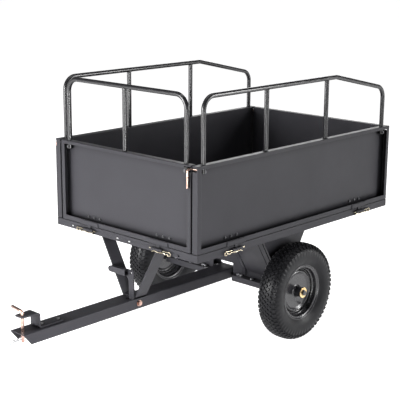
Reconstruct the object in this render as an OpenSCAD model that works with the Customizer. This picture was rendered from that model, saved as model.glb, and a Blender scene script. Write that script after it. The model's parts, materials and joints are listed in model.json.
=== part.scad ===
// Two-wheeled tipping garden cart with folding walls, tubular top rails and a channel drawbar.
// Millimetres, +Z up, ground at z = 0, drawbar towards -Y.

/* [Bed] */
// Overall width of the bed
bed_w = 805; // [785:5:825]
// Overall length of the bed
bed_l = 1238; // [1210:2:1260]
// Height of the floor's top above the ground
floor_z = 494; // [490:1:500]
// Height of the walls above the floor
wall_h = 334; // [300:2:340]
// Depth of the skirt below the floor
skirt_h = 31; // [29:1:34]
// Thickness of the pressed sheet
sheet = 2; // [1.6:0.2:2.4]

/* [Wall trays] */
// Depth of each pressed wall tray
tray = 29; // [27:1:30]
// Width of the return lip round a tray's face
lip = 20; // [17:1:22]
// Depth of the turned-down lip along the top ledge
ledge_lip = 14; // [10:1:16]
// Gap between an end wall and the side wall beside it
wall_gap = 7; // [6:0.5:9]

/* [Rails] */
// Outside diameter of the rail tube
rail_d = 19; // [17:0.5:21]
// Height of the side rails above the ground
side_rail_z = 1076; // [1060:2:1090]
// Height of the low rear end of the side rails
rail_tail_z = 1008; // [990:2:1012]
// Height of the front rail above the ground
front_rail_z = 1079; // [1060:2:1090]
// Bend radius of the tube's centreline
bend_r = 52; // [45:1:60]

/* [Wheels] */
// Outside diameter of the tyre
tyre_d = 410; // [404:2:412]
// Width of the tyre
tyre_w = 100; // [90:2:102]
// Distance between the wheels' middle planes
track = 762; // [762:2:770]
// Diameter of the axle shaft
axle_d = 20; // [18:1:20]

/* [Drawbar] */
// Width of the drawbar channel
bar_w = 84; // [80:1:88]
// Height of the drawbar channel
bar_h = 43; // [40:1:46]
// Distance from the axle to the drawbar's tip
bar_l = 1145; // [1120:5:1170]
// Diameter of the hitch pin
hitch_pin_d = 12.7; // [12:0.1:13]
// Height of the hitch throat between plate and drawbar
hitch_gap = 62; // [56:1:66]

/* [Hidden] */
$fn = 48;

// Colours
graphite = [0.22, 0.22, 0.235];
dark = [0.13, 0.13, 0.14];
zinc = [0.75, 0.75, 0.76];
yellow_zinc = [0.80, 0.70, 0.42];
copper = [0.75, 0.50, 0.40];
rubber = [0.10, 0.10, 0.11];

// The bed is set back so that the middle of the whole cart's length is at y = 0.
pin_clip_reach = 62;
rear_hinge_reach = 13;
bed_y = (hitch_pin_y_abs() + pin_clip_reach - bed_l / 2 - rear_hinge_reach) / 2;
function hitch_pin_y_abs() = bar_l - 25;

axle_r = axle_d / 2;
axle_z = tyre_d / 2;
half_w = bed_w / 2;
half_l = bed_l / 2;
clear = 0.5;
wall_z = floor_z + clear;
wall_top = floor_z + wall_h;
skirt_z = floor_z - skirt_h;
skirt_x = half_w - clear;
skirt_y = half_l - clear;
web_x = half_w - tray;
end_half = web_x - wall_gap;

// Hinge pins lie just outside the wall faces, below the floor's edge.
hinge_out = 7;
hinge_z = floor_z - 16;
hinge_r = 2.5;
knuckle_r = 6;
knuckle = 18;
end_hinge_x = 198;
side_hinge_y = 405;
pin_fit = 0.08;

// Drawbar heights
web_z = axle_z + bar_h / 2 + 5.5;
bar_t = 3;
tip_y = -bar_l;
pin_y = -hitch_pin_y_abs();
plate_t = 6;
plate_z = web_z + hitch_gap;
brace_y = -560;
brace_w = 60;
latch_y = -574;
latch_z = web_z - 20.5;
latch_bolt_r = 6;
strap_x = 7;
strap_w = 28;
strap_y = -598;
strap_t = 6;
pedal_z = 325;
pedal_h = 24;

// Axle support
support_z = 217;
channel_y = 60;
channel_in = 80;
channel_out = 318;
leg_y = 27;
kink_z = 248;
bracket_in = 135;
bracket_out = 318;
bracket_slot = 5;
cross_half = bracket_in - 20;
bracket_top_y = 158;

// Wheels
wheel_x = track / 2;
rim_r = 112;
hub_half = 40;
hub_r = 21;
bearing_r = 17.5;
shaft_end = wheel_x + 51;

// Rail posts
rail_r = rail_d / 2;
post_foot = wall_top - 34;
side_rail_x = half_w - 17;
front_rail_y = -half_l + 17;
front_post_x = 329;
side_post_front = -573;
side_post_rear = 577;
rail_knee_y = 228;
side_mid_posts = [-218, 165];
latch_pin_r = 4;
latch_pin_z = wall_top - 15;

module in_frame() translate([0, bed_y, 0]) children();

module box(lo, hi) translate(lo) cube(hi - lo);

module both_sides() { children(); mirror([1, 0, 0]) children(); }

// A rod of radius r from a to b.
module rod(a, b, r) {
    d = b - a;
    len = norm(d);
    translate(a) rotate([0, acos(d[2] / len), atan2(d[1], d[0])]) cylinder(h = len, r = r);
}

// A quarter bend of wire: starts at [b, 0, 0] heading +Y and ends at [0, b, 0] heading -X.
module wire_bend(b, r) rotate_extrude(angle = 90) translate([b, 0]) circle(r);

// A hexagon-headed bolt along +Z: the head stands above z = 0, the nut below -grip.
module bolt(r, grip, nut = true) {
    cylinder(h = r * 1.3, r = r * 1.75, $fn = 6);
    cylinder(h = 1, r = r * 2.1);
    translate([0, 0, -grip - (nut ? r * 1.9 : 0)]) cylinder(h = grip + (nut ? r * 1.9 : 0) + 1, r = r);
    if (nut) translate([0, 0, -grip - r * 1.4]) cylinder(h = r * 1.4, r = r * 1.75, $fn = 6);
}

// A straight run of bar of radius r in the local X-Z plane, from a to b.
module bar_run(a, b, r) {
    d = b - a;
    translate([a[0], 0, a[1]]) rotate([0, atan2(d[0], d[1]), 0]) cylinder(h = norm(d), r = r);
}

// A bend of the bar in the local X-Z plane, round centre c, from angle a0 through da.
module bar_bend(c, a0, da, r) {
    translate([c[0], 0, c[1]]) rotate([90, 0, 0]) rotate([0, 0, a0]) rotate_extrude(angle = da)
        translate([bend_r, 0]) circle(r);
}

// ---------------------------------------------------------------- drawbar

module drawbar() color(graphite) in_frame() difference() {
    box([-bar_w / 2, tip_y, web_z - bar_h], [bar_w / 2, 16, web_z]);
    box([-bar_w / 2 + bar_t, tip_y - 1, web_z - bar_h - 1], [bar_w / 2 - bar_t, 17, web_z - bar_t]);
    // Flanges are cut back on the slant under the tip.
    translate([-bar_w, tip_y, web_z - bar_t - 0.5]) rotate([0, 90, 0])
        linear_extrude(bar_w * 2) polygon([[0, -1], [0, 0], [bar_h, 32], [bar_h, -1]]);
    // Axle holes through both flanges.
    translate([-bar_w, 0, axle_z]) rotate([0, 90, 0]) cylinder(h = bar_w * 2, r = 14);
    // Latch bolt holes.
    translate([-bar_w, latch_y, latch_z]) rotate([0, 90, 0])
        cylinder(h = bar_w * 2, r = latch_bolt_r + pin_fit);
    // Slot for the latch lever.
    box([strap_x - 3, strap_y - 16, web_z - bar_t - 1], [strap_x + strap_w + 3, strap_y + strap_t + 3, web_z + 1]);
    // Hole for the hitch pin and two for the bracket's bolts.
    translate([0, pin_y, 0]) cylinder(h = web_z + 5, r = hitch_pin_d / 2 + 0.4);
    for (y = hitch_bolt_ys()) translate([0, y, 0]) cylinder(h = web_z + 5, r = 5.1);
}

function hitch_bolt_ys() = [-1032, -954];

module drawbar_bushes() color(dark) in_frame() both_sides()
    translate([0, 0, axle_z]) rotate([0, 90, 0]) difference() {
        union() {
            translate([0, 0, bar_w / 2 - bar_t - 3]) cylinder(h = bar_t + 4, r = 13.9);
            translate([0, 0, bar_w / 2 + 0.2]) cylinder(h = 2.5, r = 18);
        }
        cylinder(h = bar_w, r = axle_r + pin_fit);
    }

module hitch_bracket() color(graphite) in_frame() difference() {
    union() {
        box([-26, -1137, plate_z - plate_t], [26, -1057, plate_z]);
        box([-26, -1063, web_z], [26, -1057, plate_z]);
        box([-26, -1063, web_z], [26, -950, web_z + plate_t]);
        translate([-14, -954, web_z]) cylinder(h = plate_t, r = 12);
        translate([14, -954, web_z]) cylinder(h = plate_t, r = 12);
        box([-14, -956, web_z], [14, -942, web_z + plate_t]);
    }
    translate([0, pin_y, web_z + 1]) cylinder(h = 90, r = hitch_pin_d / 2 + 0.4);
    for (y = hitch_bolt_ys()) translate([0, y, web_z - 1]) cylinder(h = plate_t + 2, r = 5.1);
}

module hitch_bolts() color(zinc) in_frame() for (y = hitch_bolt_ys())
    translate([0, y, web_z + plate_t]) bolt(5, plate_t + bar_t);

module latch_bolt() color(copper) in_frame() translate([bar_w / 2, latch_y, latch_z])
    rotate([0, 90, 0]) bolt(latch_bolt_r, bar_w);

// The spring is drawn as the sleeve that its coils fill.
module latch_spring() color(zinc) in_frame() translate([strap_x - 14, latch_y, latch_z])
    rotate([0, 90, 0]) difference() {
        cylinder(h = 12, r = 9);
        translate([0, 0, -1]) cylinder(h = 14, r = latch_bolt_r + 0.3);
    }

// ---------------------------------------------------------------- hitch pin

module hitch_pin() color(copper) in_frame() translate([0, pin_y, 0]) {
    r = hitch_pin_d / 2;
    difference() {
        union() {
            translate([0, 0, web_z - 40]) cylinder(h = plate_z - web_z + 46, r = r);
            translate([0, 0, web_z - 43]) cylinder(h = 3, r = r - 1.5);
        }
        translate([0, 20, web_z - 30]) rotate([90, 0, 0]) cylinder(h = 40, r = 2.2);
    }
    rod([0, 0, plate_z + 6], [-8, 0, plate_z + 9], r - 0.2);
    rod([-6, 0, plate_z + 8], [-60, 0, plate_z + 20], r - 0.4);
}

module hitch_pin_clip() color(yellow_zinc) in_frame() translate([0, pin_y, web_z - 30]) {
    rod([0, 10, 0], [0, -43, 0], 1.8);
    translate([-2.3, -51, 1]) rotate([0, 90, 0]) difference() {
        cylinder(h = 4.6, r = 11);
        translate([0, 0, -1]) cylinder(h = 7, r = 7);
    }
    rod([0, -44, 6.5], [0, -9, 9.5], 1.6);
}

// ---------------------------------------------------------------- tipping latch

module latch_lever() color(graphite) in_frame() {
    difference() {
        union() {
            box([strap_x, strap_y, latch_z + 4], [strap_x + strap_w, strap_y + strap_t, pedal_z + pedal_h]);
            // Gusset into the pedal arm
            box([strap_x - 30, strap_y, pedal_z - 30], [strap_x + 1, strap_y + strap_t, pedal_z + pedal_h]);
        }
        translate([strap_x - 30, strap_y - 1, pedal_z - 30]) rotate([-90, 0, 0])
            cylinder(h = strap_t + 2, r = 30);
        translate([strap_x + strap_w / 2, strap_y - 1, pedal_z + 12]) rotate([-90, 0, 0])
            cylinder(h = strap_t + 2, r = 5);
    }
    for (x = [strap_x, strap_x + strap_w - 6]) difference() {
        union() {
            translate([x, latch_y, latch_z]) rotate([0, 90, 0]) cylinder(h = 6, r = 12);
            box([x, strap_y, latch_z - 9], [x + 6, latch_y, latch_z + 9]);
        }
        translate([x - 1, latch_y, latch_z]) rotate([0, 90, 0]) cylinder(h = 8, r = latch_bolt_r + pin_fit);
    }
}

module latch_pedal() color(graphite) in_frame() difference() {
    union() {
        box([-84, strap_y - 16, pedal_z], [strap_x - 6, strap_y, pedal_z + pedal_h]);
        translate([-84, strap_y, pedal_z + 12]) rotate([90, 0, 0]) cylinder(h = 16, r = pedal_h / 2);
    }
    box([-90, strap_y - 13.5, pedal_z + 2.5], [strap_x, strap_y + 1, pedal_z + pedal_h - 2.5]);
}

// ---------------------------------------------------------------- bed structure

module floor_pan() color(dark) in_frame()
    box([-skirt_x, -skirt_y, floor_z - sheet], [skirt_x, skirt_y, floor_z]);

skirt_holes = [-305, -34, 34, 305];
module end_skirt() difference() {
    union() {
        box([-skirt_x, -skirt_y, skirt_z], [skirt_x, -skirt_y + sheet, floor_z - sheet]);
        box([-skirt_x + sheet, -skirt_y, skirt_z], [skirt_x - sheet, -skirt_y + 18, skirt_z + sheet]);
    }
    for (x = skirt_holes) translate([x, -skirt_y - 1, skirt_z + 11]) rotate([-90, 0, 0])
        cylinder(h = 5, r = 5);
}

module front_skirt() color(graphite) in_frame() end_skirt();
module rear_skirt() color(graphite) in_frame() mirror([0, 1, 0]) end_skirt();

module side_skirts() color(graphite) in_frame() both_sides() {
    box([skirt_x - sheet, -skirt_y + sheet, skirt_z], [skirt_x, skirt_y - sheet, floor_z - sheet]);
    box([skirt_x - 18, -skirt_y + 18, skirt_z], [skirt_x, skirt_y - 18, skirt_z + sheet]);
}

rib_ys = [brace_y, -bracket_top_y + 15, bracket_top_y - 15, 380];
module floor_ribs() color(dark) in_frame() for (y = rib_ys) difference() {
    box([-skirt_x + 20, y - 30, skirt_z + 2], [skirt_x - 20, y + 30, floor_z - sheet]);
    box([-skirt_x + 19, y - 28, skirt_z + 4], [skirt_x - 19, y + 28, floor_z]);
}

// V-shaped flat bar that carries the bed's front end on the drawbar.
brace_t = 6;
foot_half = 38;
brace_slope = 0.557;
brace_rise = skirt_z + 2 - web_z - clear;
brace_top_x = foot_half + brace_slope * brace_rise;
module tipping_brace() color(graphite) in_frame()
    translate([0, brace_y + brace_w / 2, web_z + clear]) rotate([90, 0, 0]) linear_extrude(brace_w) {
        slant = brace_t * sqrt(1 + brace_slope * brace_slope);
        translate([-foot_half, 0]) square([2 * foot_half, brace_t]);
        both_sides() {
            polygon([[foot_half, 0], [brace_top_x, brace_rise], [brace_top_x - slant, brace_rise],
                [foot_half - slant + brace_slope * brace_t, brace_t], [foot_half - slant, 0]]);
            translate([brace_top_x - slant, brace_rise - brace_t]) square([40, brace_t]);
        }
    }

module brace_bolts() color(zinc) in_frame() both_sides() for (y = [-16, 16])
    translate([brace_top_x + 20, brace_y + y, skirt_z + 2 - brace_t]) rotate([180, 0, 0]) bolt(4, brace_t, nut = false);

// ---------------------------------------------------------------- axle support

module bracket_face() {
    slope = (bracket_top_y - leg_y) / (skirt_z + 2 - kink_z);
    w = 3 * sqrt(1 + slope * slope);
    polygon([[leg_y - 3, support_z], [leg_y, support_z], [leg_y, kink_z],
        [bracket_top_y, skirt_z + 2], [bracket_top_y - w, skirt_z + 2], [leg_y - 3, kink_z]]);
}

module bracket_side() polygon([[-leg_y + 3, support_z], [leg_y - 3, support_z], [leg_y - 3, kink_z],
    [bracket_top_y - 4, skirt_z + 2], [-bracket_top_y + 4, skirt_z + 2], [-leg_y + 3, kink_z]]);

// Extrudes a Y-Z outline along X from x0 to x1.
module along_x(x0, x1) translate([x0, 0, 0]) rotate([90, 0, 90]) linear_extrude(x1 - x0) children();

module axle_bracket() {
    // Narrow flange, wide face and narrow flange, with an open slot between each pair
    for (span = [[cross_half, bracket_in - bracket_slot], [bracket_in, bracket_out - 15],
            [bracket_out - 15 + bracket_slot, bracket_out]])
        along_x(span[0], span[1]) { bracket_face(); mirror([1, 0]) bracket_face(); }
    along_x(bracket_in, bracket_in + 3) bracket_side();
    along_x(bracket_out - 3, bracket_out) bracket_side();
    // Raised panel pressed into the front and rear faces
    for (m = [0, 1]) mirror([0, m, 0]) difference() {
        translate([0, 2.5, 0]) along_x(bracket_in + 24, bracket_out - 40) bracket_face();
        box([bracket_in, 0, support_z - 1], [bracket_out, 200, support_z + 22]);
        box([bracket_in, 0, skirt_z - 34], [bracket_out, 200, skirt_z + 10]);
    }
    // Base flange that joins the two legs
    box([cross_half, -leg_y + 1, support_z], [bracket_out, leg_y - 1, support_z + 3]);
}

module axle_bracket_right() color(graphite) in_frame() axle_bracket();
module axle_bracket_left() color(graphite) in_frame() mirror([1, 0, 0]) axle_bracket();

notch_x = 58;
notch_z = 260;
module axle_crosspieces() color(dark) in_frame() for (m = [0, 1]) mirror([0, m, 0])
    translate([0, -leg_y + 3, 0]) rotate([90, 0, 0]) linear_extrude(3) difference() {
        translate([-cross_half, support_z]) square([2 * cross_half, 130]);
        translate([-notch_x, support_z - 1]) square([2 * notch_x, notch_z - support_z + 1]);
    }

module axle_channels() color(graphite) in_frame() both_sides() difference() {
    box([channel_in, -channel_y, 193], [channel_out, channel_y, support_z]);
    box([channel_in - 1, -channel_y + 3, 192], [channel_out + 1, channel_y - 3, support_z - 1.8]);
}

saddle_xs = [channel_in + 4, 150, 230, channel_out - 18];
module axle_saddles() color(dark) in_frame() both_sides() for (x = saddle_xs) difference() {
    box([x, -22, 194], [x + 14, 22, support_z - 1.8]);
    translate([x - 1, 0, axle_z]) rotate([0, 90, 0]) cylinder(h = 16, r = axle_r + 0.03);
}

module axle_bolts() color(zinc) in_frame() both_sides() {
    for (x = [95, 112], y = [-36, 36]) translate([x, y, support_z]) bolt(4, 3);
    for (x = [180, 270], y = [-44, 44]) translate([x, y, support_z]) bolt(4, 3);
}

module axle_shaft() color(zinc) in_frame() difference() {
    translate([-shaft_end, 0, axle_z]) rotate([0, 90, 0]) cylinder(h = 2 * shaft_end, r = axle_r);
    both_sides() translate([shaft_end - 5, 0, axle_z - 20]) cylinder(h = 40, r = 1.7);
}

module axle_washers() color(yellow_zinc) in_frame() both_sides() for (x = [-hub_half - 3, hub_half + 0.5])
    translate([wheel_x + x, 0, axle_z]) rotate([0, 90, 0]) difference() {
        cylinder(h = 2.5, r = 22);
        translate([0, 0, -1]) cylinder(h = 5, r = axle_r + 0.05);
    }

module cotter_pins() color(zinc) in_frame() both_sides() translate([shaft_end - 5, 0, axle_z]) {
    translate([0, 0, -14]) cylinder(h = 26, r = 1.6);
    translate([0, 0, 12]) sphere(2.6);
}

// ---------------------------------------------------------------- hinges

// One hinge's three knuckles run along X, centred on x = 0, on the hinge axis.
module knuckle_at(x, w) translate([x, 0, 0]) rotate([0, 90, 0]) difference() {
    cylinder(h = w, r = knuckle_r);
    translate([0, 0, -1]) cylinder(h = w + 2, r = hinge_r + pin_fit);
}

// Lug on the skirt: the skirt's face is at y = hinge_out - clear.
module fixed_lug() for (x = [-knuckle * 1.5 - 1, knuckle / 2 + 1]) {
    knuckle_at(x, knuckle);
    difference() {
        box([x, 3.5, -13], [x + knuckle, hinge_out + clear, 2]);
        translate([x - 1, 0, 0]) rotate([0, 90, 0]) cylinder(h = knuckle + 2, r = hinge_r + 1);
    }
}

// Leaf on the wall: the wall's face is at y = hinge_out.
leaf_w = 104;
module moving_leaf() {
    knuckle_at(-knuckle / 2, knuckle);
    box([-knuckle / 2, 4, 0], [knuckle / 2, hinge_out - 0.3, 20]);
    box([-leaf_w / 2, hinge_out - 2.5, hinge_out + 10], [leaf_w / 2, hinge_out, 34]);
    box([-knuckle / 2, hinge_out - 2.5, 4], [knuckle / 2, hinge_out - 0.3, 20]);
}

// Places a hinge drawn along X onto each wall.
module on_front(x) translate([x, -half_l - hinge_out, hinge_z]) children();
module on_rear(x) rotate([0, 0, 180]) on_front(x) children();
module on_right(y) translate([half_w + hinge_out, y, hinge_z]) rotate([0, 0, 90]) children();
module on_left(y) mirror([1, 0, 0]) on_right(y) children();

module hinge_lugs() color(graphite) in_frame() for (s = [-1, 1]) {
    on_front(s * end_hinge_x) fixed_lug();
    on_rear(s * end_hinge_x) fixed_lug();
    on_right(s * side_hinge_y) fixed_lug();
    on_left(s * side_hinge_y) fixed_lug();
}

// R-shaped clip that serves as the hinge's pin; its loop is at the +X end.
module hinge_clip() {
    rod([-42, 0, 0], [54, 0, 0], hinge_r);
    translate([64, 0, -6]) rotate([90, 0, 0]) translate([0, 0, -2]) difference() {
        cylinder(h = 4, r = 9.5);
        translate([0, 0, -1]) cylinder(h = 6, r = 5.5);
    }
    // Short links from the ring into both legs
    box([52, -1.4, -1.4], [57.5, 1.4, 0.6]);
    box([50, -1.4, -12.5], [58, 1.4, -10]);
    rod([-30, 0, -11.2], [52, 0, -11.2], 2);
}

module hinge_clips() color(yellow_zinc) in_frame() for (s = [0, 1]) {
    on_front(0) mirror([s, 0, 0]) translate([end_hinge_x, 0, 0]) hinge_clip();
    on_rear(0) mirror([s, 0, 0]) translate([end_hinge_x, 0, 0]) hinge_clip();
    on_right(0) mirror([s, 0, 0]) translate([side_hinge_y, 0, 0]) hinge_clip();
    on_left(0) mirror([s, 0, 0]) translate([side_hinge_y, 0, 0]) hinge_clip();
}

// ---------------------------------------------------------------- wheels

tyre_ri = 105;
// Tyre section: a squarish oval from the bead to the tread
module tyre_oval(inset) {
    mid = (tyre_d / 2 + tyre_ri) / 2;
    polygon([for (a = [0 : 7.5 : 359])
        [mid + ((tyre_d / 2 - tyre_ri) / 2 - inset) * sign(cos(a)) * pow(abs(cos(a)), 0.62),
         (tyre_w / 2 - inset) * sign(sin(a)) * pow(abs(sin(a)), 0.8)]]);
}

bead = 26;
module tyre() rotate([0, 90, 0]) rotate_extrude($fn = 96) difference() {
    tyre_oval(0);
    tyre_oval(9);
    translate([tyre_ri - 20, -bead + 9]) square([35, 2 * (bead - 9)]);
    // Room for the rim's flanges
    for (s = [-1, 1]) polygon([[tyre_ri - 9, s * bead], [tyre_ri - 1, s * bead], [rim_r + 4, s * (bead + 5.5)],
        [rim_r + 4, s * tyre_w], [tyre_ri - 9, s * tyre_w]]);
}

// Pressed rim: outer dish towards +X.
module rim() rotate([0, 90, 0]) rotate_extrude($fn = 96) {
    translate([100, -31]) square([3.5, 62]);
    for (s = [-1, 1]) polygon([[100, s * 29], [102, s * 31], [rim_r + 3, s * 36], [rim_r + 3, s * 33],
        [103.5, s * 27.5]]);
    polygon([[hub_r + 0.05, 2], [70, 2], [78, 8], [86, 8], [92, 2], [102, 2], [102, 5],
        [94, 5], [87, 11], [77, 11], [69, 5], [hub_r + 0.05, 5]]);
}

module hub() rotate([0, 90, 0]) translate([0, 0, -hub_half]) difference() {
    cylinder(h = 2 * hub_half, r = hub_r);
    translate([0, 0, -1]) cylinder(h = 2 * hub_half + 2, r = bearing_r);
}

module bearings() rotate([0, 90, 0]) for (z = [-hub_half, hub_half - 12]) translate([0, 0, z]) difference() {
    cylinder(h = 12, r = bearing_r - 0.02);
    translate([0, 0, -1]) cylinder(h = 14, r = axle_r + 0.05);
}

valve_angle = -52;
module valve() rotate([valve_angle, 0, 0]) translate([0, 96, 0]) {
    rod([12, 3.5, 0], [34, -4, 0], 4);
    rod([34, -4, 0], [42, -6.5, 0], 3);
}

module at_right_wheel() translate([wheel_x, 0, axle_z]) children();
module at_left_wheel() mirror([1, 0, 0]) at_right_wheel() children();

module tyre_right() color(rubber) in_frame() at_right_wheel() tyre();
module rim_right() color(graphite) in_frame() at_right_wheel() rim();
module hub_right() color(dark) in_frame() at_right_wheel() hub();
module bearings_right() color(zinc) in_frame() at_right_wheel() bearings();
module valve_right() color(rubber) in_frame() at_right_wheel() valve();
module tyre_left() color(rubber) in_frame() at_left_wheel() tyre();
module rim_left() color(graphite) in_frame() at_left_wheel() rim();
module hub_left() color(dark) in_frame() at_left_wheel() hub();
module bearings_left() color(zinc) in_frame() at_left_wheel() bearings();
module valve_left() color(rubber) in_frame() at_left_wheel() valve();

// ---------------------------------------------------------------- walls

// A pressed tray facing -Y: web at y = tray, face at y = 0, from x = -half to half.
module wall_tray(half) {
    box([-half, tray - sheet, wall_z], [half, tray, wall_top]);
    box([-half, 0, wall_z], [half, tray, wall_z + sheet]);
    box([-half, 0, wall_top - sheet], [half, tray, wall_top]);
    for (s = [-1, 1]) {
        box([s < 0 ? -half : half - sheet, 0, wall_z], [s < 0 ? -half + sheet : half, tray, wall_top]);
        box([s < 0 ? -half : half - lip, 0, wall_z], [s < 0 ? -half + lip : half, sheet, wall_top]);
    }
    box([-half, 0, wall_z], [half, sheet, wall_z + lip]);
    box([-half, 0, wall_top - ledge_lip], [half, sheet, wall_top]);
}

module on_front_wall() translate([0, -half_l, 0]) children();
module on_rear_wall() rotate([0, 0, 180]) on_front_wall() children();
module on_right_wall() translate([half_w, 0, 0]) rotate([0, 0, 90]) children();
module on_left_wall() mirror([1, 0, 0]) on_right_wall() children();

latch_shank_y = 13;
// Window cut in a tray's lip beside its latch
module latch_window(half) box([half - 34, -1, latch_pin_z - 16], [half + 1, sheet + 1, latch_pin_z + 9]);
// Open-fronted slot for a latch pin in a side wall's end
module keeper_slot(end_y) box([web_x - 1, min(end_y, end_y + sign(-end_y) * 20), latch_pin_z - 7],
    [half_w - 6, max(end_y, end_y + sign(-end_y) * 20), latch_pin_z + 7]);

module front_wall() color(graphite) in_frame() difference() {
    on_front_wall() wall_tray(end_half);
    on_front_wall() latch_window(end_half);
    // Bore for the right latch pin, open slot for the left one
    translate([end_half - 4, -half_l + latch_shank_y, latch_pin_z]) rotate([0, 90, 0])
        cylinder(h = 6, r = latch_pin_r + pin_fit);
    box([-end_half - 1, -half_l + latch_shank_y - 6, latch_pin_z - 7],
        [-end_half + 22, -half_l + tray + 1, latch_pin_z + 7]);
    for (x = [-front_post_x, front_post_x]) translate([x, front_rail_y, wall_top - 10])
        cylinder(h = 20, r = rail_r + 0.2);
}

module tailgate() color(graphite) in_frame() difference() {
    on_rear_wall() wall_tray(end_half);
    on_rear_wall() both_sides() latch_window(end_half);
    both_sides() translate([end_half - 4, half_l - latch_shank_y, latch_pin_z]) rotate([0, 90, 0])
        cylinder(h = 6, r = latch_pin_r + pin_fit);
}

module side_wall() difference() {
    on_right_wall() wall_tray(half_l);
    keeper_slot(half_l + 1);
    for (y = [side_post_front, side_post_rear]) translate([side_rail_x, y, wall_top - 10])
        cylinder(h = 20, r = rail_r + 0.2);
}

module right_wall() color(graphite) in_frame() difference() {
    side_wall();
    keeper_slot(-half_l - 1);
}

module left_wall() color(graphite) in_frame() mirror([1, 0, 0]) difference() {
    side_wall();
    // Window in the lip and bore in the web for the left latch pin
    on_right_wall() mirror([1, 0, 0]) latch_window(half_l);
    translate([web_x - 1, -half_l + latch_shank_y, latch_pin_z]) rotate([0, 90, 0])
        cylinder(h = 4, r = latch_pin_r + pin_fit);
}

// Bolts through each hinge leaf and at each post's foot, drawn on a tray facing -Y.
module wall_bolts(hinges, posts) {
    for (h = hinges, x = [-34, 0, 34]) translate([h + x, tray - sheet, wall_z + 28])
        rotate([90, 0, 0]) bolt(3, sheet, nut = false);
    for (p = posts) translate([p, 17 - rail_r, post_foot + 8]) rotate([90, 0, 0]) bolt(3, tray - 18 - 2, nut = false);
}

module front_wall_bolts() color(zinc) in_frame() on_front_wall()
    wall_bolts([-end_hinge_x, end_hinge_x], [-front_post_x, front_post_x]);
module tailgate_bolts() color(zinc) in_frame() on_rear_wall() wall_bolts([-end_hinge_x, end_hinge_x], []);
module right_wall_bolts() color(zinc) in_frame() on_right_wall()
    wall_bolts([-side_hinge_y, side_hinge_y], [side_post_front, side_post_rear]);
module left_wall_bolts() color(zinc) in_frame() on_left_wall()
    wall_bolts([-side_hinge_y, side_hinge_y], [side_post_front, side_post_rear]);

module front_hinge_leaves() color(graphite) in_frame() for (s = [-1, 1]) on_front(s * end_hinge_x) moving_leaf();
module tailgate_hinge_leaves() color(graphite) in_frame() for (s = [-1, 1]) on_rear(s * end_hinge_x) moving_leaf();
module right_hinge_leaves() color(graphite) in_frame() for (s = [-1, 1]) on_right(s * side_hinge_y) moving_leaf();
module left_hinge_leaves() color(graphite) in_frame() for (s = [-1, 1]) on_left(s * side_hinge_y) moving_leaf();

// ---------------------------------------------------------------- rails

tube_t = 1.5;
fall = atan2(side_rail_z - rail_tail_z, side_post_rear - 44 - rail_knee_y);

// Side rail along local X (the cart's Y): level, then sloping down to the rear post.
module side_rail_bar(r, extra) {
    f = side_post_front;
    b = side_post_rear;
    z = side_rail_z;
    dir = bend_r * [sin(fall), cos(fall)];
    // Centre of the bend from the sloping run into the rear post
    rc = [b - bend_r, z - (b - bend_r - rail_knee_y) * tan(fall) - bend_r / cos(fall)];
    bar_run([f, post_foot - extra], [f, z - bend_r], r);
    bar_bend([f + bend_r, z - bend_r], 90, 90, r);
    bar_run([f + bend_r, z], [rail_knee_y, z], r);
    translate([rail_knee_y, 0, z]) sphere(r);
    bar_run([rail_knee_y, z], rc + dir, r);
    bar_bend(rc, 0, 90 - fall, r);
    bar_run([b, post_foot - extra], [b, rc[1]], r);
}

module front_rail_bar(r, extra) {
    z = front_rail_z;
    for (s = [-1, 1]) {
        bar_run([s * front_post_x, post_foot - extra], [s * front_post_x, z - bend_r], r);
        bar_bend([s * (front_post_x - bend_r), z - bend_r], s > 0 ? 0 : 90, 90, r);
    }
    bar_run([-front_post_x + bend_r, z], [front_post_x - bend_r, z], r);
}

// Upright between the wall's ledge and the rail at height z; inset hollows it.
module mid_post(x, z, inset) bar_run([x, wall_top - inset], [x, z - 4 * inset], rail_r - inset);

module side_rail() difference() {
    union() {
        side_rail_bar(rail_r, 0);
        for (x = side_mid_posts) mid_post(x, side_rail_z, 0);
    }
    side_rail_bar(rail_r - tube_t, 5);
    for (x = side_mid_posts) mid_post(x, side_rail_z - rail_r, tube_t);
}

module right_rail() color(graphite) in_frame() translate([side_rail_x, 0, 0]) rotate([0, 0, 90]) side_rail();
module left_rail() color(graphite) in_frame() mirror([1, 0, 0])
    translate([side_rail_x, 0, 0]) rotate([0, 0, 90]) side_rail();

module front_rail() color(graphite) in_frame() translate([0, front_rail_y, 0]) difference() {
    union() {
        front_rail_bar(rail_r, 0);
        mid_post(0, front_rail_z, 0);
    }
    front_rail_bar(rail_r - tube_t, 5);
    mid_post(0, front_rail_z - rail_r, tube_t);
}

// ---------------------------------------------------------------- corner latches

// Bent pin on a tray facing -Y: the shank runs along X from x0 to x1 at its depth,
// and the handle comes forward at x0 and hangs down.
latch_bend = 8;
handle_out = 7;
module corner_latch(x0, x1) translate([0, 0, latch_pin_z]) {
    r = latch_pin_r;
    b = latch_bend;
    rod([x0 + b, latch_shank_y, 0], [x1, latch_shank_y, 0], r);
    translate([x0 + b, latch_shank_y - b, 0]) rotate([0, 0, 90]) wire_bend(b, r);
    rod([x0, latch_shank_y - b, 0], [x0, b - handle_out, 0], r);
    translate([x0, b - handle_out, -b]) rotate([0, 0, 90]) rotate([90, 0, 0]) rotate([0, 0, 90]) wire_bend(b, r);
    rod([x0, -handle_out, -b], [x0, -handle_out, -70], r);
}

latch_in = end_half - 10;
latch_out = web_x + 10.5;
module front_right_latch() color(copper) in_frame() on_front_wall() corner_latch(latch_in, latch_out);
module rear_right_latch() color(copper) in_frame() on_rear_wall() mirror([1, 0, 0])
    corner_latch(latch_in, latch_out);
module rear_left_latch() color(copper) in_frame() on_rear_wall() corner_latch(latch_in, latch_out);
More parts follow.
